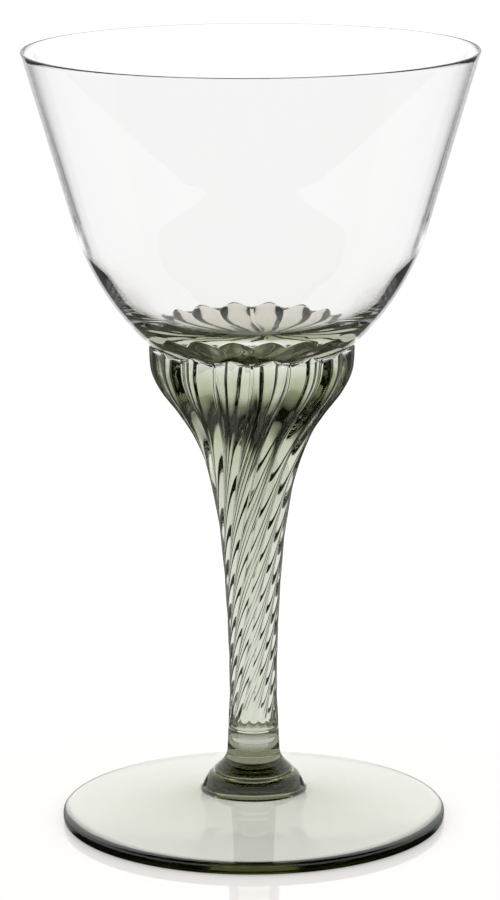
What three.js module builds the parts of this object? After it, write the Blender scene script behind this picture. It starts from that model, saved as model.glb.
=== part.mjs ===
// A stemmed cocktail glass of hot worked glass, in millimetres, +Z up.
// Its origin is the centre of the circle that it rests on.
// A clear bowl sits in the cup of a solid, pleated and twisted smoke stem,
// which stands on a solid smoke collar and a shallow smoke foot.

import * as THREE from "three";

// What every piece shares
const seatGap = 0.3; // left between two pieces that are fused in the real glass
const roundSides = 64; // flat sides around each turned piece

// Foot: a shallow hollow cone with a low round hub
const footRadius = 40.75;
const footEdgeThickness = 2.2;
const footEdgeRound = 0.7;
const footRise = 4.4; // from the top of the edge to the foot of the hub
const footPlateThickness = 3; // where the cone meets the hub
const restRingWidth = 1.6; // the flat ring that touches the table
const hubRadius = 10.6;
const hubTopRadius = 8.6;
const hubHeight = 3.7;
const hubSteps = 4;

// Collar: a solid neck that flares out to a thin lip on the hub
const collarLipRadius = 8.35;
const collarLipThickness = 0.5;
const collarFlareHeight = 3.6;
const collarFlareNeckRadius = 5.8; // radius where the flare ends
const collarNeckHeight = 4.9;
const collarFlareHollow = 1.7; // 1 is a straight flare, more is hollower
const collarFlareSteps = 5;

// Stem: a solid pleated rod that swells into a calyx, with a cup for the bowl
const stemFootRadius = 5.38;
const stemWaistRadius = 5.07;
const stemWaistHeight = 10.3; // above the end of the stem
const calyxRadius = 21.85;
const stemHeight = 82.8; // from its end to the outer edge of the calyx
const pleatCount = 16;
const waistPleatShare = 0.1; // depth of a pleat at the waist, over the radius there
const calyxPleatShare = 0.085; // depth of a pleat at the calyx edge, over the radius there
const pleatLean = 14; // degrees from upright, once the twist is in full
const twistRunInHeight = 14; // height over which the twist starts, below the calyx edge
const calyxEdgeWidth = 0.45; // of the rounded edge between the outer wall and the cup
const calyxEdgeDrop = 0.75; // how far the rounded outer edge falls below the line of the cup
const calyxEdgeSteps = 2;
const cupSteps = 8;
const stemRows = 32;
const sidesPerPleat = 6;

// How the stem swells from its waist to the calyx: share of the height, share of the swell
const stemSwell = [[0.22, 0.032], [0.44, 0.109], [0.607, 0.24], [0.717, 0.407],
  [0.8, 0.625], [0.869, 0.848], [0.931, 0.973], [1, 1]];

// Bowl: a ball shaped underside, a round shoulder and a straight flared wall
const undersideRadius = 31;
const undersideReach = 20.5; // radius where the underside turns into the shoulder
const shoulderRadius = 55;
const wallFlare = 16.3; // degrees from upright
const rimRadius = 47.5;
const bowlWall = 1;
const bowlBaseThickness = 7.7;
const baseThinning = 2; // more thins the base out sooner towards the wall
const undersideSteps = 6;
const shoulderSteps = 7;
const wallSteps = 4;
const rimSteps = 4;

// Heights that follow from the sizes above
const footTop = footEdgeThickness + footRise + hubHeight;
const collarBottom = footTop + seatGap;
const collarTop = collarBottom + collarLipThickness + collarFlareHeight + collarNeckHeight;
const stemBottom = collarTop + seatGap;
const calyxEdge = stemBottom + stemHeight;

const clearGlass = { color: 0xf2f6f5, roughness: 0.03, metalness: 0 };
const smokeGlass = { color: 0x5c5f50, roughness: 0.04, metalness: 0 };

function point(radius, height) {
  return new THREE.Vector2(radius, height);
}

// Turns an outline of radius and height, from the axis below to the axis above, around +Z
function turned(outline, sides) {
  const shape = new THREE.LatheGeometry(outline, sides);
  shape.rotateX(Math.PI / 2);
  return shape;
}

function piece(name, shape, finish) {
  const mesh = new THREE.Mesh(shape, new THREE.MeshStandardMaterial(finish));
  mesh.name = name;
  return mesh;
}

// Height of the bowl's underside over its lowest point
function undersideRise(radius) {
  return undersideRadius - Math.sqrt(undersideRadius ** 2 - radius ** 2);
}

function footShape() {
  const coneTop = footEdgeThickness + footRise;
  const coneSlope = footRise / (footRadius - hubRadius);
  const ringOuter = footRadius - footEdgeRound;
  const ringInner = ringOuter - restRingWidth;
  const hollowTop = coneTop - footPlateThickness;
  const outline = [
    point(0, hollowTop),
    point(hubRadius, hollowTop),
    point(ringInner, 0),
    point(ringOuter, 0),
    point(footRadius, footEdgeRound),
    point(footRadius, footEdgeThickness - footEdgeRound),
    point(ringOuter, footEdgeThickness + coneSlope * footEdgeRound),
    point((footRadius + hubRadius) / 2, footEdgeThickness + footRise / 2),
  ];
  for (let step = 0; step <= hubSteps; step += 1) {
    const turn = (step / hubSteps) * (Math.PI / 2);
    const radius = hubTopRadius + (hubRadius - hubTopRadius) * Math.cos(turn);
    outline.push(point(radius, coneTop + hubHeight * Math.sin(turn)));
  }
  outline.push(point(0, footTop));
  return turned(outline, roundSides);
}

function collarShape() {
  const flareBottom = collarBottom + collarLipThickness;
  const outline = [point(0, collarBottom), point(collarLipRadius, collarBottom)];
  for (let step = 0; step <= collarFlareSteps; step += 1) {
    const share = step / collarFlareSteps;
    const flare = (collarLipRadius - collarFlareNeckRadius) * (1 - share) ** collarFlareHollow;
    outline.push(point(collarFlareNeckRadius + flare, flareBottom + collarFlareHeight * share));
  }
  outline.push(point(stemFootRadius, collarTop), point(0, collarTop));
  return turned(outline, roundSides);
}

// The stem's outer outline over the pleats' crests, from its end up to the calyx edge
function stemOutline() {
  const rise = stemHeight - stemWaistHeight;
  const swell = calyxRadius - stemWaistRadius;
  const points = [point(stemFootRadius, 0), point(stemWaistRadius, stemWaistHeight)];
  for (const [heightShare, swellShare] of stemSwell) {
    points.push(point(stemWaistRadius + swell * swellShare, stemWaistHeight + rise * heightShare));
  }
  return new THREE.SplineCurve(points);
}

// How far the pleats have turned at each row, from none at the calyx edge
function twistOf(rows) {
  const lean = Math.tan(THREE.MathUtils.degToRad(pleatLean));
  const turns = rows.map(() => 0);
  for (let row = rows.length - 2; row >= 0; row -= 1) {
    const height = (rows[row].y + rows[row + 1].y) / 2;
    const radius = (rows[row].x + rows[row + 1].x) / 2;
    const runIn = Math.min(1, (stemHeight - height) / twistRunInHeight);
    turns[row] = turns[row + 1] - (lean * runIn * (rows[row + 1].y - rows[row].y)) / radius;
  }
  return turns;
}

// Depth of a pleat at an angle: none on the round crests, one in the sharp groove between two.
// One groove lies on +X, and with sixteen pleats another lies at the front.
function pleatAt(angle) {
  const phase = (angle / (2 * Math.PI)) * pleatCount - 0.5;
  const fromCrest = 1 - Math.abs(2 * (phase - Math.floor(phase)) - 1);
  return 1 - Math.cos((fromCrest * Math.PI) / 2);
}

// A row of the cup, which follows the underside of the bowl a seat gap and the row's own drop below it
function cupRow(radius, pleat, drop) {
  return { radius, pleat, drop, turn: 0 };
}

// From the axis below, up the outer wall, over the rounded edge and down the cup to the axis
function stemShape() {
  const outer = stemOutline().getSpacedPoints(stemRows);
  const turns = twistOf(outer);
  outer.pop();
  const section = [{ radius: 0, height: stemBottom, pleat: 0, turn: 0 }];
  outer.forEach((spot, row) => {
    section.push({ radius: spot.x, height: stemBottom + spot.y, pleat: 1, turn: turns[row] });
  });
  for (let step = 0; step <= calyxEdgeSteps; step += 1) {
    const angle = ((step / calyxEdgeSteps) * Math.PI) / 2;
    const inset = calyxEdgeWidth * (1 - Math.cos(angle));
    section.push(cupRow(calyxRadius - inset, 1, calyxEdgeDrop * (1 - Math.sin(angle))));
  }
  for (let step = cupSteps - 1; step >= 0; step -= 1) {
    const share = step / cupSteps;
    section.push(cupRow((calyxRadius - calyxEdgeWidth) * share, share, 0));
  }
  return pleated(section);
}

// Turns a section that runs from axis to axis, with the pleats pressed in and twisted row by row
function pleated(section) {
  const sides = pleatCount * sidesPerPleat;
  const shape = new THREE.LatheGeometry(section.map((row) => point(row.radius, 0)), sides);
  const spots = shape.getAttribute("position");
  for (let index = 0; index < spots.count; index += 1) {
    const row = section[index % section.length];
    const angle = (Math.floor(index / section.length) / sides) * 2 * Math.PI;
    const outness = (row.radius - stemWaistRadius) / (calyxRadius - stemWaistRadius);
    const deepest = THREE.MathUtils.lerp(waistPleatShare, calyxPleatShare, outness);
    const radius = row.radius * (1 - deepest * row.pleat * pleatAt(angle));
    const height = row.height ?? bowlBottom + undersideRise(radius) - seatGap - row.drop;
    const direction = angle + row.turn;
    spots.setXYZ(index, radius * Math.cos(direction), radius * Math.sin(direction), height);
  }
  shape.computeVertexNormals();
  return shape;
}

// The bowl lies in the cup, whose rounded outer edge falls a little below it
const bowlBottom = calyxEdge + calyxEdgeDrop + seatGap - undersideRise(calyxRadius);

// Outer outline of the bowl from the axis to the rim, each spot with its slope from level
function bowlOutline() {
  const spots = [];
  const reach = Math.asin(undersideReach / undersideRadius);
  for (let step = 0; step < undersideSteps; step += 1) {
    const slope = (reach * step) / undersideSteps;
    const radius = undersideRadius * Math.sin(slope);
    spots.push({ radius, height: undersideRise(radius), slope });
  }
  const steepest = Math.PI / 2 - THREE.MathUtils.degToRad(wallFlare);
  for (let step = 0; step <= shoulderSteps; step += 1) {
    const slope = reach + ((steepest - reach) * step) / shoulderSteps;
    const radius = undersideReach + shoulderRadius * (Math.sin(slope) - Math.sin(reach));
    const height = undersideRise(undersideReach) + shoulderRadius * (Math.cos(reach) - Math.cos(slope));
    spots.push({ radius, height, slope });
  }
  const start = spots[spots.length - 1];
  for (let step = 1; step <= wallSteps; step += 1) {
    const out = ((rimRadius - start.radius) * step) / wallSteps;
    const height = start.height + out * Math.tan(steepest);
    spots.push({ radius: start.radius + out, height, slope: steepest });
  }
  return spots;
}

// The wall's thickness falls from the base to the end of the shoulder, and is even above it
function wallThickness(slope, steepest) {
  const thinned = (1 - (slope / steepest) ** 2) ** baseThinning;
  return bowlWall + (bowlBaseThickness - bowlWall) * thinned;
}

function bowlShape() {
  const outer = bowlOutline();
  const steepest = outer[outer.length - 1].slope;
  const outline = outer.map((spot) => point(spot.radius, bowlBottom + spot.height));
  const rim = outline[outline.length - 1];
  const lip = bowlWall / 2;
  const lipCentre = point(rim.x - lip * Math.sin(steepest), rim.y + lip * Math.cos(steepest));
  for (let step = 1; step < rimSteps; step += 1) {
    const turn = steepest - Math.PI / 2 + (Math.PI * step) / rimSteps;
    outline.push(point(lipCentre.x + lip * Math.cos(turn), lipCentre.y + lip * Math.sin(turn)));
  }
  for (const spot of outer.reverse()) {
    const wall = wallThickness(spot.slope, steepest);
    const radius = spot.radius - wall * Math.sin(spot.slope);
    outline.push(point(radius, bowlBottom + spot.height + wall * Math.cos(spot.slope)));
  }
  return turned(outline, roundSides);
}

const glass = new THREE.Group();
glass.add(piece("foot", footShape(), smokeGlass));
glass.add(piece("collar", collarShape(), smokeGlass));
glass.add(piece("ribbed_stem", stemShape(), smokeGlass));
glass.add(piece("bowl", bowlShape(), clearGlass));

export default glass;
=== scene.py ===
import math

import bpy
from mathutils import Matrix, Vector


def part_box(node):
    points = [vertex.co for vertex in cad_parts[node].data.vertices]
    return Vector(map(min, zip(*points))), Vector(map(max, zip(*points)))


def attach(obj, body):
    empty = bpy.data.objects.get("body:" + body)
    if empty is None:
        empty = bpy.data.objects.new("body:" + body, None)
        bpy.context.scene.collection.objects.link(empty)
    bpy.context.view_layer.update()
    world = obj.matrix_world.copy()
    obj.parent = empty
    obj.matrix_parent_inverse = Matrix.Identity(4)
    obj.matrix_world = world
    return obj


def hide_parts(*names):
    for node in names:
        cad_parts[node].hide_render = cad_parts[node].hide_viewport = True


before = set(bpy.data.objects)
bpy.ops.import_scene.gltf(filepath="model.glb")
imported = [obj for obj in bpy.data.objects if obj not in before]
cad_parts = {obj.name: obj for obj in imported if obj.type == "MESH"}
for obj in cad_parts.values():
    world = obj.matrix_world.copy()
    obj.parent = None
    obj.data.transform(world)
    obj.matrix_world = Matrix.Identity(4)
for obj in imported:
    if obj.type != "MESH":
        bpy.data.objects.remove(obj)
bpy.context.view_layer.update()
print("frame loaded:", ", ".join(sorted(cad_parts)))

mm = 0.001  # the sizes below are in millimetres, the meshes in metres
pleats = 16
contactGap = 0.02  # between two pieces that are one glass in the real thing


def nodeBox(node):  # a node's lowest and highest corner, in millimetres
    low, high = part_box(node)
    return low / mm, high / mm


footHigh = nodeBox("foot")[1]
collarLow, collarHigh = nodeBox("collar")
stemLow, stemHigh = nodeBox("ribbed_stem")
bowlLow, bowlHigh = nodeBox("bowl")


# Outlines, as (radius, height) pairs

def arc(centre, radius, start, end, steps):  # angles in degrees, 0 points outwards, 90 up
    points = []
    for step in range(steps + 1):
        turn = math.radians(start + (end - start) * step / steps)
        points.append((centre[0] + radius * math.cos(turn), centre[1] + radius * math.sin(turn)))
    return points


def smoothLine(points, steps):  # a smooth curve through the points, evenly stepped between each two
    line = []
    last = len(points) - 1
    for spot in range(last):
        before, here = points[max(spot - 1, 0)], points[spot]
        there, after = points[spot + 1], points[min(spot + 2, last)]
        for step in range(steps):
            t = step / steps
            line.append(tuple(
                0.5 * (2 * b + (c - a) * t + (2 * a - 5 * b + 4 * c - d) * t ** 2
                       + (3 * b - a - 3 * c + d) * t ** 3)
                for a, b, c, d in zip(before, here, there, after)))
    line.append(tuple(points[last]))
    return line


# Meshes

def turnedPiece(name, rows, sides):
    # Each row is a dictionary: radius, height, and what it says of pleats, turn and contact.
    # Rows run from the lower axis outside round to the upper axis.
    vertices, faces, rings, fusedFaces = [], [], [], []
    values = {"pleatShare": [], "folded": [], "turn": [], "onBall": [], "drop": []}
    for row in rows:
        count = 1 if row["radius"] < 1e-6 else sides
        rings.append([len(vertices) + side % count for side in range(sides)])
        for side in range(count):
            angle = 2 * math.pi * side / sides
            vertices.append((row["radius"] * math.cos(angle) * mm,
                             row["radius"] * math.sin(angle) * mm, row["height"] * mm))
            for key, value in values.items():
                value.append(row.get(key, 0.0))
    for low, high in zip(range(len(rows)), range(1, len(rows))):
        fused = 1.0 if rows[low].get("fused") and rows[high].get("fused") else 0.0
        for side in range(sides):
            after = (side + 1) % sides
            corners = [rings[low][side], rings[low][after], rings[high][after], rings[high][side]]
            face = list(dict.fromkeys(corners))
            if len(face) > 2:
                faces.append(face)
                fusedFaces.append(fused)
    mesh = bpy.data.meshes.new(name)
    mesh.from_pydata(vertices, [], faces)
    for key, value in values.items():
        mesh.attributes.new(key, "FLOAT", "POINT").data.foreach_set("value", value)
    mesh.attributes.new("fused", "FLOAT", "FACE").data.foreach_set("value", fusedFaces)
    mesh.shade_smooth()
    piece = bpy.data.objects.new(name, mesh)
    bpy.context.scene.collection.objects.link(piece)
    return piece


def plainRows(outline, fused=()):  # rows for an outline, where fused holds the numbers of contact rows
    return [{"radius": radius, "height": height, "fused": spot in fused}
            for spot, (radius, height) in enumerate(outline)]


# Geometry nodes: presses the pleats in, turns each row, and lays the marked rows on the bowl's ball

def addMath(tree, operation, *inputs, clamp=False):
    node = tree.nodes.new("ShaderNodeMath")
    node.operation = operation
    node.use_clamp = clamp
    for socket, value in zip(node.inputs, inputs):
        if isinstance(value, bpy.types.NodeSocket):
            tree.links.new(value, socket)
        else:
            socket.default_value = value
    return node.outputs[0]


def buildPleatTree():
    tree = bpy.data.node_groups.new("pressedPleats", "GeometryNodeTree")
    face = tree.interface
    face.new_socket("Geometry", in_out="INPUT", socket_type="NodeSocketGeometry")
    for name in ("Pleats", "Depth", "Ball Radius", "Ball Bottom"):
        face.new_socket(name, in_out="INPUT", socket_type="NodeSocketFloat")
    face.new_socket("Glass", in_out="INPUT", socket_type="NodeSocketMaterial")
    face.new_socket("Geometry", in_out="OUTPUT", socket_type="NodeSocketGeometry")
    nodes, links = tree.nodes, tree.links
    given = nodes.new("NodeGroupInput").outputs
    result = nodes.new("NodeGroupOutput")

    def spotValue(name):
        node = nodes.new("GeometryNodeInputNamedAttribute")
        node.data_type = "FLOAT"
        node.inputs["Name"].default_value = name
        return node.outputs["Attribute"]

    def calc(operation, *inputs, clamp=False):
        return addMath(tree, operation, *inputs, clamp=clamp)

    parts = nodes.new("ShaderNodeSeparateXYZ")
    links.new(nodes.new("GeometryNodeInputPosition").outputs[0], parts.inputs[0])
    across, along, up = parts.outputs
    angle = calc("ARCTAN2", along, across)
    radius = calc("SQRT", calc("ADD", calc("MULTIPLY", across, across), calc("MULTIPLY", along, along)))

    phase = calc("SUBTRACT", calc("DIVIDE", calc("MULTIPLY", angle, given["Pleats"]), 2 * math.pi), 0.5)
    share = calc("FRACT", calc("ADD", phase, given["Pleats"]))
    inPleat = calc("SUBTRACT", 1.0, calc("ABSOLUTE", calc("SUBTRACT", calc("MULTIPLY", share, 2.0), 1.0)))
    quarter = calc("MULTIPLY", inPleat, math.pi / 2)
    ribbed = calc("SUBTRACT", 1.0, calc("COSINE", quarter))  # round ribs, sharp grooves
    fluted = calc("SINE", quarter)  # sharp ribs, round grooves
    hollow = calc("ADD", ribbed, calc("MULTIPLY", calc("SUBTRACT", fluted, ribbed), spotValue("folded")))

    pressed = calc("MULTIPLY", calc("MULTIPLY", given["Depth"], spotValue("pleatShare")), hollow)
    newRadius = calc("MULTIPLY", radius, calc("SUBTRACT", 1.0, pressed))
    direction = calc("ADD", angle, spotValue("turn"))

    ball = given["Ball Radius"]
    squares = calc("MULTIPLY", ball, ball), calc("MULTIPLY", newRadius, newRadius)
    fall = calc("SQRT", calc("SUBTRACT", *squares))
    ballHeight = calc("SUBTRACT", calc("ADD", given["Ball Bottom"], ball), fall)
    onBall = spotValue("onBall")
    lifted = calc("MULTIPLY", onBall, calc("SUBTRACT", calc("SUBTRACT", ballHeight, spotValue("drop")), up))

    spot = nodes.new("ShaderNodeCombineXYZ")
    links.new(calc("MULTIPLY", newRadius, calc("COSINE", direction)), spot.inputs[0])
    links.new(calc("MULTIPLY", newRadius, calc("SINE", direction)), spot.inputs[1])
    links.new(calc("ADD", up, lifted), spot.inputs[2])
    place = nodes.new("GeometryNodeSetPosition")
    links.new(given["Geometry"], place.inputs["Geometry"])
    links.new(spot.outputs[0], place.inputs["Position"])
    real = nodes.new("GeometryNodeRealizeInstances")
    links.new(place.outputs[0], real.inputs[0])
    finish = nodes.new("GeometryNodeSetMaterial")
    links.new(real.outputs[0], finish.inputs["Geometry"])
    links.new(given["Glass"], finish.inputs["Material"])
    links.new(finish.outputs[0], result.inputs[0])
    return tree


pleatTree = buildPleatTree()


def pressPleats(blank, values):  # runs the tree on a blank and keeps the plain mesh that comes out
    modifier = blank.modifiers.new("pleats", "NODES")
    modifier.node_group = pleatTree
    for socket in pleatTree.interface.items_tree:
        if socket.in_out == "INPUT" and socket.name in values:
            modifier[socket.identifier] = values[socket.name]
    seen = blank.evaluated_get(bpy.context.evaluated_depsgraph_get())
    mesh = bpy.data.meshes.new_from_object(seen)
    blank.modifiers.remove(modifier)
    plain = blank.data
    blank.data = mesh
    mesh.name = blank.name
    bpy.data.meshes.remove(plain)
    return blank


# Materials

def addGroupSockets(tree, ins, outs):
    for name, kind, value in ins:
        socket = tree.interface.new_socket(name, in_out="INPUT", socket_type=kind)
        socket.default_value = value
    for name, kind in outs:
        tree.interface.new_socket(name, in_out="OUTPUT", socket_type=kind)


def buildHandWorkedSurface():  # faint unevenness of glass that was shaped by hand
    tree = bpy.data.node_groups.new("handWorkedSurface", "ShaderNodeTree")
    addGroupSockets(tree, [("Scale", "NodeSocketFloat", 60.0), ("Stretch", "NodeSocketFloat", 1.0)],
                    [("Height", "NodeSocketFloat")])
    given, result = tree.nodes.new("NodeGroupInput"), tree.nodes.new("NodeGroupOutput")
    place = tree.nodes.new("ShaderNodeTexCoord")
    parts = tree.nodes.new("ShaderNodeSeparateXYZ")
    joined = tree.nodes.new("ShaderNodeCombineXYZ")
    noise = tree.nodes.new("ShaderNodeTexNoise")
    noise.inputs["Detail"].default_value = 1.0
    tree.links.new(place.outputs["Object"], parts.inputs[0])
    tree.links.new(parts.outputs[0], joined.inputs[0])
    tree.links.new(parts.outputs[1], joined.inputs[1])
    tree.links.new(addMath(tree, "MULTIPLY", parts.outputs[2], given.outputs["Stretch"]), joined.inputs[2])
    tree.links.new(joined.outputs[0], noise.inputs["Vector"])
    tree.links.new(given.outputs["Scale"], noise.inputs["Scale"])
    tree.links.new(noise.outputs[0], result.inputs["Height"])
    return tree


handWorked = buildHandWorkedSurface()


def glassMaterial(name, look):
    material = bpy.data.materials.new(name)
    material.use_nodes = True
    nodes, links = material.node_tree.nodes, material.node_tree.links
    glass = nodes["Principled BSDF"]
    output = nodes["Material Output"]
    glass.inputs["Base Color"].default_value = (1, 1, 1, 1)
    glass.inputs["Roughness"].default_value = 0.0
    glass.inputs["IOR"].default_value = look["ior"]
    glass.inputs["Transmission Weight"].default_value = 1.0
    uneven = nodes.new("ShaderNodeGroup")
    uneven.node_tree = handWorked
    uneven.inputs["Scale"].default_value = look["unevenScale"]
    uneven.inputs["Stretch"].default_value = look["unevenStretch"]
    bump = nodes.new("ShaderNodeBump")
    bump.inputs["Strength"].default_value = 1.0
    bump.inputs["Distance"].default_value = look["unevenDepth"] * mm
    links.new(uneven.outputs["Height"], bump.inputs["Height"])
    links.new(bump.outputs["Normal"], glass.inputs["Normal"])
    # Where two pieces are one glass, light goes straight through the joint
    contact = nodes.new("ShaderNodeAttribute")
    contact.attribute_name = "fused"
    through = nodes.new("ShaderNodeBsdfTransparent")
    mix = nodes.new("ShaderNodeMixShader")
    links.new(contact.outputs["Fac"], mix.inputs[0])
    links.new(glass.outputs[0], mix.inputs[1])
    links.new(through.outputs[0], mix.inputs[2])
    links.new(mix.outputs[0], output.inputs["Surface"])
    tint = nodes.new("ShaderNodeVolumeAbsorption")
    tint.inputs["Color"].default_value = (*look["tint"], 1)
    tint.inputs["Density"].default_value = look["tintPerMetre"]
    links.new(tint.outputs[0], output.inputs["Volume"])
    return material


clearLook = {"ior": 1.5, "tint": (0.94, 0.95, 0.93), "tintPerMetre": 30.0,
             "unevenScale": 28.0, "unevenStretch": 0.6, "unevenDepth": 0.002}
smokeLook = {"ior": 1.5, "tint": (0.797, 0.815, 0.737), "tintPerMetre": 200.0,
             "unevenScale": 90.0, "unevenStretch": 0.5, "unevenDepth": 0.004}
collarLook = {"ior": 1.5, "tint": (0.68, 0.695, 0.63), "tintPerMetre": 200.0,
              "unevenScale": 90.0, "unevenStretch": 0.5, "unevenDepth": 0.004}
paleSmokeLook = {"ior": 1.5, "tint": (0.71, 0.72, 0.6), "tintPerMetre": 200.0,
                 "unevenScale": 45.0, "unevenStretch": 1.0, "unevenDepth": 0.004}
clearGlass = glassMaterial("clearGlass", clearLook)
smokeGlass = glassMaterial("smokeGlass", smokeLook)
collarGlass = glassMaterial("collarGlass", collarLook)
paleSmokeGlass = glassMaterial("paleSmokeGlass", paleSmokeLook)
print("materials made")


# Bowl
bowlSizes = {
    "sides": 256,
    "undersideRadius": 31, "undersideReach": 20.5, "shoulderRadius": 55, "wallFlare": 16.3,
    "wall": 1.5, "wallFrom": 37.5, "lip": 0.55, "lipTaper": 36.0,
    "inside": [(0, 7.7), (4.5, 7.72), (9, 8.0), (15, 9.5), (21, 13.2), (27, 18.4), (33, 27.5)],
    "insideSteps": 8, "undersideStep": 0.7, "shoulderSteps": 28, "wallSteps": 40, "rimSteps": 8,
}
# The cup, where the stem is one glass with the bowl: its edge over the crests, and where pleats fade out
cup = {"edge": 21.6, "share": 1.15, "folded": 0.2, "fadeIn": 14.0, "fadeOut": 22.6}


def cupShare(radius):  # how much of a pleat a ring of the bowl's underside follows
    inside = (radius - cup["fadeIn"]) / (cup["edge"] - cup["fadeIn"])
    outside = (cup["fadeOut"] - radius) / (cup["fadeOut"] - cup["edge"])
    return cup["share"] * max(min(inside, outside), 0.0)


def undersideSpots(sizes):  # radius, height and slope of the outer face, from the axis to the rim
    ball, reach, shoulder = sizes["undersideRadius"], sizes["undersideReach"], sizes["shoulderRadius"]
    turnedAt = math.asin(reach / ball)
    steepest = math.radians(90 - sizes["wallFlare"])

    def spotAt(radius):
        if radius <= reach:
            return radius, ball - math.sqrt(ball ** 2 - radius ** 2), math.asin(radius / ball)
        slope = math.asin(math.sin(turnedAt) + (radius - reach) / shoulder)
        height = ball - math.sqrt(ball ** 2 - reach ** 2)
        return radius, height + shoulder * (math.cos(turnedAt) - math.cos(slope)), slope

    step = sizes["undersideStep"]
    radii = [step * number for number in range(int(cup["edge"] / step))]
    radii += [cup["edge"], (cup["edge"] + cup["fadeOut"]) / 2, cup["fadeOut"]]
    atFade = spotAt(cup["fadeOut"])[2]
    for number in range(1, sizes["shoulderSteps"] + 1):
        slope = atFade + (steepest - atFade) * number / sizes["shoulderSteps"]
        radii.append(reach + shoulder * (math.sin(slope) - math.sin(turnedAt)))
    spots = [spotAt(radius) for radius in radii]
    start = spots[-1]
    rimRadius = bowlHigh.x - sizes["lip"] / 2 * (1 - math.sin(steepest))
    for number in range(1, sizes["wallSteps"] + 1):
        out = (rimRadius - start[0]) * number / sizes["wallSteps"]
        spots.append((start[0] + out, start[1] + out * math.tan(steepest), steepest))
    return spots


def makeBowl(sizes):
    spots = undersideSpots(sizes)
    steepest = spots[-1][2]
    bottom = bowlLow.z
    rows = [{"radius": r, "height": bottom + h, "pleatShare": cupShare(r), "folded": cup["folded"],
             "onBall": float(cupShare(r) > 0), "fused": r <= cup["edge"]} for r, h, slope in spots]
    lip = sizes["lip"] / 2
    centre = (rows[-1]["radius"] - lip * math.sin(steepest), rows[-1]["height"] + lip * math.cos(steepest))
    facing = math.degrees(steepest) - 90
    for r, h in arc(centre, lip, facing, facing + 180, sizes["rimSteps"])[1:-1]:
        rows.append({"radius": r, "height": min(h, bowlHigh.z)})
    upper = []
    for r, h, slope in spots:
        if r > sizes["wallFrom"]:
            taper = max(1 - (spots[-1][1] - h) / sizes["lipTaper"], 0)
            wall = sizes["wall"] + (sizes["lip"] - sizes["wall"]) * taper
            upper.append((r - wall * math.sin(slope), h + wall * math.cos(slope)))
    steps = sizes["insideSteps"]
    lower = smoothLine([*sizes["inside"], *upper[:2]], steps)[:len(sizes["inside"]) * steps]
    for r, h in reversed(lower + upper):
        rows.append({"radius": r, "height": bottom + h})
    return turnedPiece("clearBowl", rows, sizes["sides"])


pressed = {"Pleats": float(pleats), "Depth": 0.07,
           "Ball Radius": bowlSizes["undersideRadius"] * mm, "Ball Bottom": bowlLow.z * mm}
bowl = pressPleats(makeBowl(bowlSizes), {**pressed, "Glass": clearGlass})
print("bowl made")


# Stem
stemSizes = {
    "sidesPerPleat": 16,
    "footRadius": 5.38, "waistRadius": 5.07, "waistHeight": 10.3, "calyxRadius": 21.85,
    "pleatDepth": [(5, 0.42), (8, 0.85), (12, 1.7), (17, 2.2), (20, 2.0), (22, 1.7)],
    "pleatFade": 5.5, "lean": 14, "twistRunIn": 14, "rowsPerSpan": 9,
    "edgeSteps": 5, "edgeDrop": 0.75, "cupSteps": 30,
    "swell": [(0.22, 0.032), (0.44, 0.109), (0.607, 0.24), (0.717, 0.407),
              (0.8, 0.625), (0.869, 0.848), (0.931, 0.973), (1, 1)],
}


def twistOf(line, sizes):  # how far each point of the line has turned, none at its upper end
    lean = math.tan(math.radians(sizes["lean"]))
    top = line[-1][1]
    turns = [0.0]
    for high, low in zip(line[::-1], line[-2::-1]):
        height, radius = (high[1] + low[1]) / 2, (high[0] + low[0]) / 2
        runIn = min(1, (top - height) / sizes["twistRunIn"])
        turns.append(turns[-1] - lean * runIn * (high[1] - low[1]) / radius)
    return turns[::-1]


def makeStem(sizes):
    rise = stemHigh.z - stemLow.z
    waist, foot = sizes["waistHeight"], sizes["footRadius"]
    swell = sizes["calyxRadius"] - sizes["waistRadius"]
    points = [(foot, 0.0), (sizes["waistRadius"], waist)]
    points += [(sizes["waistRadius"] + swell * out, waist + (rise - waist) * up)
               for up, out in sizes["swell"]]
    line = smoothLine(points, sizes["rowsPerSpan"])
    turns = twistOf(line, sizes)

    def shareAt(radius, depths):  # share of a full pleat that gives the depth in the list
        spots = [(0.0, depths[0][1]), *depths, (math.inf, depths[-1][1])]
        for low, high in zip(spots, spots[1:]):
            if radius <= high[0]:
                depth = low[1] + (high[1] - low[1]) * (radius - low[0]) / (high[0] - low[0])
                return depth / (pressed["Depth"] * radius)

    rows = []
    for (r, h), turn in zip(line, turns):
        ease = min(h / sizes["pleatFade"], 1)  # no pleats at the joint with the collar
        rows.append({"radius": r, "height": stemLow.z + h, "turn": turn,
                     "pleatShare": shareAt(r, sizes["pleatDepth"]) * ease * ease * (3 - 2 * ease)})
    # The edge takes the last row's place and rounds over from the outer wall to the cup under the bowl
    rows.pop()
    edge = sizes["calyxRadius"]
    for step in range(sizes["edgeSteps"] + 1):
        quarter = math.pi / 2 * step / sizes["edgeSteps"]
        share = math.sin(quarter)
        rows.append({"radius": edge - (edge - cup["edge"]) * (1 - math.cos(quarter)),
                     "height": 0.0, "onBall": 1.0,
                     "drop": (contactGap + sizes["edgeDrop"] * (1 - share)) * mm,
                     "pleatShare": 1.0 + (cup["share"] - 1.0) * share, "folded": cup["folded"] * share,
                     "fused": step == sizes["edgeSteps"]})
    for step in range(1, sizes["cupSteps"] + 1):
        radius = cup["edge"] * (1 - step / sizes["cupSteps"])
        rows.append({"radius": radius, "height": 0.0, "onBall": 1.0, "drop": contactGap * mm,
                     "pleatShare": cupShare(radius), "folded": cup["folded"], "fused": True})
    rows[0]["fused"] = True
    rows.insert(0, {"radius": 0.0, "height": stemLow.z, "fused": True})
    return turnedPiece("pleatedStem", rows, pleats * sizes["sidesPerPleat"])


stem = pressPleats(makeStem(stemSizes), {**pressed, "Glass": smokeGlass})
print("stem made")


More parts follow.
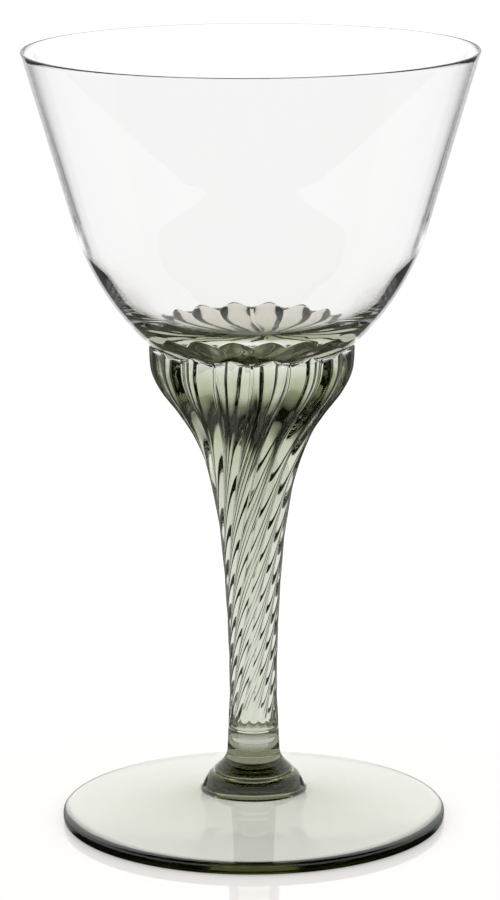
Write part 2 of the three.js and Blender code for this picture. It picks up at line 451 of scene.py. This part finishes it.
# Collar
collarSizes = {
    "sides": 128, "lipThickness": 0.5, "lipFrom": -60, "lipSteps": 6,
    "flareHeight": 4.5, "neckRadius": 5.6, "flareHollow": 2.2, "flareSteps": 14,
    "neckRows": (0.33, 0.66, 1.0),  # shares of the way from the flare to the stem
}


def makeCollar(sizes):
    low = collarLow.z
    top = stemLow.z - contactGap
    lip = collarHigh.x
    lipRadius = sizes["lipThickness"] / 2
    outline = [(0.0, low), (lip - lipRadius, low)]
    outline += arc((lip - lipRadius, low + lipRadius), lipRadius, sizes["lipFrom"], 90, sizes["lipSteps"])
    start = low + sizes["lipThickness"]
    for step in range(1, sizes["flareSteps"] + 1):
        share = step / sizes["flareSteps"]
        flare = (lip - sizes["neckRadius"]) * (1 - share) ** sizes["flareHollow"]
        outline.append((sizes["neckRadius"] + flare, start + sizes["flareHeight"] * share))
    neck = stemSizes["footRadius"]
    neckBase = start + sizes["flareHeight"]
    outline += [(sizes["neckRadius"] + (neck - sizes["neckRadius"]) * t, neckBase + (top - neckBase) * t)
                for t in sizes["neckRows"]]
    outline.append((0.0, top))
    last = len(outline) - 1
    return turnedPiece("smokeCollar", plainRows(outline, fused=(0, 1, last - 1, last)), sizes["sides"])


collar = makeCollar(collarSizes)
collar.data.materials.append(collarGlass)
print("collar made")


# Foot
footSizes = {
    "sides": 256, "edgeThickness": 2.4, "rise": 4.2,
    "plateThickness": 3.0, "ringWidth": 1.6, "underFlat": 3.0,
    "edgeRound": 0.9, "topRound": 0.8, "topRoundTo": 80, "roundSteps": 8, "topSteps": 16,
    "hub": [(12.0, 0.0), (11.2, 0.2), (10.8, 0.8), (10.4, 1.7), (9.9, 2.7), (9.3, 3.45), (8.6, 3.98)],
    "hubSpan": 5,
}


def makeFoot(sizes):
    edge = footHigh.x
    coneTop = sizes["edgeThickness"] + sizes["rise"]
    top = collarLow.z - contactGap
    ringOuter = edge - sizes["edgeRound"]
    ringInner = ringOuter - sizes["ringWidth"]
    hubEdge = sizes["hub"][0][0]
    hollow = coneTop - sizes["plateThickness"]
    flat = sizes["underFlat"]
    under = [(0.0, hollow)]
    for step in range(sizes["topSteps"] + 1):
        share = step / sizes["topSteps"]
        under.append((flat + (ringInner - flat) * share, hollow * (1 - share)))
    low, high = sizes["edgeRound"], sizes["topRound"]
    outline = under + arc((edge - low, low), low, -90, 0, sizes["roundSteps"])
    outline += arc((edge - high, sizes["edgeThickness"] - high), high, 0, sizes["topRoundTo"],
                   sizes["roundSteps"])
    topStart = outline[-1]
    for step in range(1, sizes["topSteps"] + 1):
        share = step / sizes["topSteps"]
        outline.append((topStart[0] + (hubEdge - topStart[0]) * share,
                        topStart[1] + (coneTop - topStart[1]) * share))
    dome = smoothLine([(r, coneTop + h) for r, h in sizes["hub"]], sizes["hubSpan"])
    outline += dome[1:]
    contact = collarHigh.x - collarSizes["lipThickness"] / 2
    outline[-1] = (sizes["hub"][-1][0], top)
    outline += [(contact, top), (0.0, top)]
    last = len(outline) - 1
    return turnedPiece("smokeFoot", plainRows(outline, fused=(last - 1, last)), sizes["sides"])


foot = makeFoot(footSizes)
foot.data.materials.append(paleSmokeGlass)
print("foot made")


for piece, node, slot in ((bowl, "bowl", "clear_glass"), (stem, "ribbed_stem", "smoke_glass"),
                          (collar, "collar", "smoke_glass"), (foot, "foot", "smoke_glass")):
    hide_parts(node)
    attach(piece, "root")


# Studio: a plain white world, where rays that have been through glass see boards and dark gaps
studio = {
    "floorRadius": 30.0, "floorDrop": 0.05,
    "floorColour": (0.74, 0.705, 0.675), "floorRoughness": 0.03, "floorIor": 1.6, "floorLift": 0.285,
    "plain": 1.0, "behindBowl": 1.0, "bright": 1.2, "grey": 0.17, "side": 0.35, "dark": 0.015,
    # litDisc and its fade: a painted pool of light on the floor round the foot, seen through glass
    "litDisc": 0.062, "litDiscFade": 0.012,
    # the steep colour is painted shade: it dims and warms the floor's painted light where rays through
    # glass come down steeply
    "steepPaintedShade": (0.72, 0.68, 0.635), "steepFrom": 26, "steepTo": 37,
    "oneWallFrom": 17, "oneWallTo": 22, "oneWallHeight": 0.1, "oneWallFade": 0.012,
    "bowlCrossings": 4,  # surfaces that a ray passes on its way through both walls of the bowl
    "backdropTop": 12, "backdropFade": 16, "ceilingFrom": 40, "ceilingFade": 12,
}
# Bright boards round the glass: azimuth, half width and fade in degrees, level
boards = [(0, 27, 3, studio["bright"]), (0, 50, 4, studio["grey"]),
          (80, 26, 6, studio["side"]), (-80, 26, 6, studio["side"])]


def addStep(tree, value, start, span):  # 0 below start, 1 above start + span
    return addMath(tree, "DIVIDE", addMath(tree, "SUBTRACT", value, start), span, clamp=True)


def addMixed(tree, first, second, share):  # first where share is 0, second where it is 1
    change = addMath(tree, "MULTIPLY", addMath(tree, "SUBTRACT", second, first), share)
    return addMath(tree, "ADD", first, change)


def buildBackdrop():  # how bright the studio is at each place in plan, 0 degrees behind the glass
    tree = bpy.data.node_groups.new("studioBackdrop", "ShaderNodeTree")
    addGroupSockets(tree, [("Place", "NodeSocketVector", (0, 0, 0))], [("Brightness", "NodeSocketFloat")])
    given, result = tree.nodes.new("NodeGroupInput"), tree.nodes.new("NodeGroupOutput")
    parts = tree.nodes.new("ShaderNodeSeparateXYZ")
    tree.links.new(given.outputs[0], parts.inputs[0])
    across, along = parts.outputs[0], parts.outputs[1]
    azimuth = addMath(tree, "MULTIPLY", addMath(tree, "ARCTAN2", across, along), 180 / math.pi)
    total = studio["dark"]
    for centre, half, fade, level in boards:
        away = addMath(tree, "WRAP", addMath(tree, "SUBTRACT", azimuth, centre), 180.0, -180.0)
        inside = addMath(tree, "SUBTRACT", half + fade / 2, addMath(tree, "ABSOLUTE", away))
        lit = addMath(tree, "MULTIPLY", addMath(tree, "DIVIDE", inside, fade, clamp=True), level)
        total = addMath(tree, "MAXIMUM", total, lit)
    tree.links.new(total, result.inputs[0])
    return tree


backdrop = buildBackdrop()


def sine(degrees):
    return math.sin(math.radians(degrees))


def throughBowl(tree, path):  # 1 past four surfaces and no joint, as behind both walls of the bowl
    bothWalls = addMath(tree, "SUBTRACT", path.outputs["Transmission Depth"], studio["bowlCrossings"] - 1,
                        clamp=True)
    noContact = addMath(tree, "SUBTRACT", 1.0, path.outputs["Transparent Depth"], clamp=True)
    return addMath(tree, "MULTIPLY", bothWalls, noContact)


def makeWorld():
    world = bpy.data.worlds.new("studioWorld")
    world.use_nodes = True
    tree = world.node_tree
    nodes, links = tree.nodes, tree.links
    background, output = nodes["Background"], nodes["World Output"]
    direction = nodes.new("ShaderNodeTexCoord").outputs["Generated"]
    pattern = nodes.new("ShaderNodeGroup")
    pattern.node_tree = backdrop
    links.new(direction, pattern.inputs[0])
    parts = nodes.new("ShaderNodeSeparateXYZ")
    links.new(direction, parts.inputs[0])
    up = parts.outputs[2]
    path = nodes.new("ShaderNodeLightPath")
    throughGlass = addMath(tree, "MINIMUM", path.outputs["Transmission Depth"], 1.0)
    # The boards end some way up, and mirrored rays find the ceiling dark
    top, topFade = sine(studio["backdropTop"]), sine(studio["backdropTop"] + studio["backdropFade"])
    above = addStep(tree, up, top, topFade - top)
    seen = addMixed(tree, pattern.outputs[0], studio["dark"], above)
    seen = addMixed(tree, seen, studio["behindBowl"], throughBowl(tree, path))
    ceiling, ceilingFade = sine(studio["ceilingFrom"]), sine(studio["ceilingFrom"] + studio["ceilingFade"])
    overhead = addMath(tree, "MULTIPLY", addStep(tree, up, ceiling, ceilingFade - ceiling),
                       path.outputs["Is Glossy Ray"])
    plain = addMixed(tree, studio["plain"], studio["dark"], overhead)
    links.new(addMixed(tree, plain, seen, throughGlass), background.inputs["Strength"])
    background.inputs["Color"].default_value = (1, 1, 1, 1)
    links.new(background.outputs[0], output.inputs["Surface"])
    bpy.context.scene.world = world


makeWorld()


def floorMaterial():
    material = bpy.data.materials.new("paleFloor")
    material.use_nodes = True
    tree = material.node_tree
    nodes, links = tree.nodes, tree.links
    surface, output = nodes["Principled BSDF"], nodes["Material Output"]
    path = nodes.new("ShaderNodeLightPath")
    surface.inputs["Base Color"].default_value = (*studio["floorColour"], 1)
    surface.inputs["Roughness"].default_value = studio["floorRoughness"]
    surface.inputs["IOR"].default_value = studio["floorIor"]
    surface.inputs["Emission Color"].default_value = (1, 1, 1, 1)
    links.new(addMath(tree, "MULTIPLY", path.outputs["Is Camera Ray"], studio["floorLift"]),
              surface.inputs["Emission Strength"])
    # Seen through the glass the floor glows with painted light: the boards' brightness by azimuth, a
    # painted pool of light round the foot, and painted shade that makes it dimmer and warmer from steeply
    # above
    place = nodes.new("ShaderNodeTexCoord")
    pattern = nodes.new("ShaderNodeGroup")
    pattern.node_tree = backdrop
    links.new(place.outputs["Object"], pattern.inputs[0])
    distance = nodes.new("ShaderNodeVectorMath")
    distance.operation = "LENGTH"
    links.new(place.outputs["Object"], distance.inputs[0])
    # Painted pool of light: a bright disc on the floor round the foot, for rays through glass
    inside = addMath(tree, "SUBTRACT", studio["litDisc"], distance.outputs["Value"])
    disc = addMath(tree, "DIVIDE", inside, studio["litDiscFade"], clamp=True)
    throughGlass = addMath(tree, "MINIMUM", path.outputs["Transmission Depth"], 1.0)
    lit = addMath(tree, "MULTIPLY", addMath(tree, "MULTIPLY", disc, throughGlass), studio["bright"])
    facing = nodes.new("ShaderNodeLayerWeight")
    facing.inputs["Blend"].default_value = 0.5
    dip = addMath(tree, "SUBTRACT", 1.0, facing.outputs["Facing"])
    # Rays that come down steeply from the bowl's height, as through one wall of it, see the floor painted
    # bright: painted light
    flat = addMath(tree, "SQRT", addMath(tree, "SUBTRACT", 1.0, addMath(tree, "MULTIPLY", dip, dip)))
    cameFrom = addMath(tree, "MULTIPLY", distance.outputs["Value"], addMath(tree, "DIVIDE", dip, flat))
    shallow, steep = sine(studio["oneWallFrom"]), sine(studio["oneWallTo"])
    oneWall = addMath(tree, "MULTIPLY", addStep(tree, dip, shallow, steep - shallow),
                      addStep(tree, cameFrom, studio["oneWallHeight"], studio["oneWallFade"]))
    oneWall = addMath(tree, "MULTIPLY", oneWall, throughGlass)
    lit = addMath(tree, "MAXIMUM", lit, addMath(tree, "MULTIPLY", oneWall, studio["bright"]))
    # Painted shade: the floor seen steeply through glass is drawn dimmer and warmer by the ray's slant
    low, high = sine(studio["steepFrom"]), sine(studio["steepTo"])
    colour = nodes.new("ShaderNodeMix")
    colour.data_type = "RGBA"
    colour.inputs["A"].default_value = (1, 1, 1, 1)
    colour.inputs["B"].default_value = (*studio["steepPaintedShade"], 1)
    links.new(addStep(tree, dip, low, high - low), colour.inputs["Factor"])
    # The floor's painted light for rays through glass, an emission although the floor is no lamp
    glow = nodes.new("ShaderNodeEmission")
    links.new(colour.outputs["Result"], glow.inputs["Color"])
    lit = addMath(tree, "MAXIMUM", lit, pattern.outputs[0])
    links.new(addMixed(tree, lit, studio["behindBowl"], throughBowl(tree, path)), glow.inputs["Strength"])
    mirror = nodes.new("ShaderNodeBsdfGlossy")
    mirror.inputs["Roughness"].default_value = studio["floorRoughness"]
    gloss = nodes.new("ShaderNodeFresnel")
    gloss.inputs["IOR"].default_value = studio["floorIor"]
    table = nodes.new("ShaderNodeMixShader")
    mirrors = addMath(tree, "SUBTRACT", throughGlass, throughBowl(tree, path), clamp=True)
    links.new(addMath(tree, "MULTIPLY", gloss.outputs[0], mirrors), table.inputs[0])
    links.new(glow.outputs[0], table.inputs[1])
    links.new(mirror.outputs[0], table.inputs[2])
    mix = nodes.new("ShaderNodeMixShader")
    links.new(addMath(tree, "MAXIMUM", throughGlass, path.outputs["Is Glossy Ray"]), mix.inputs[0])
    links.new(surface.outputs[0], mix.inputs[1])
    links.new(table.outputs[0], mix.inputs[2])
    links.new(mix.outputs[0], output.inputs["Surface"])
    return material


def makeFloor():
    bpy.ops.mesh.primitive_circle_add(vertices=64, radius=studio["floorRadius"], fill_type="NGON",
                                      location=(0, 0, -studio["floorDrop"] * mm))
    floor = bpy.context.object
    floor.name = "floor"
    floor.data.materials.append(floorMaterial())


makeFloor()


# Camera
cameraSizes = {"lens": 163.65, "distance": 839.96, "height": 265.61, "aside": -0.48,
               "down": 12.4416, "roll": 0.245}


def makeCamera(sizes):
    data = bpy.data.cameras.new("camera")
    data.lens = sizes["lens"]
    data.clip_start, data.clip_end = 0.01, 100.0
    camera = bpy.data.objects.new("camera", data)
    bpy.context.scene.collection.objects.link(camera)
    camera.location = (sizes["aside"] * mm, -sizes["distance"] * mm, sizes["height"] * mm)
    camera.rotation_mode = "ZXY"
    camera.rotation_euler = (math.radians(90 - sizes["down"]), 0, -math.radians(sizes["roll"]))
    bpy.context.scene.camera = camera


makeCamera(cameraSizes)

scene = bpy.context.scene
scene.view_settings.view_transform = "Standard"
scene.cycles.max_bounces = 40
scene.cycles.transmission_bounces = 40
scene.cycles.glossy_bounces = 24
scene.cycles.transparent_max_bounces = 40
print("studio and camera made")
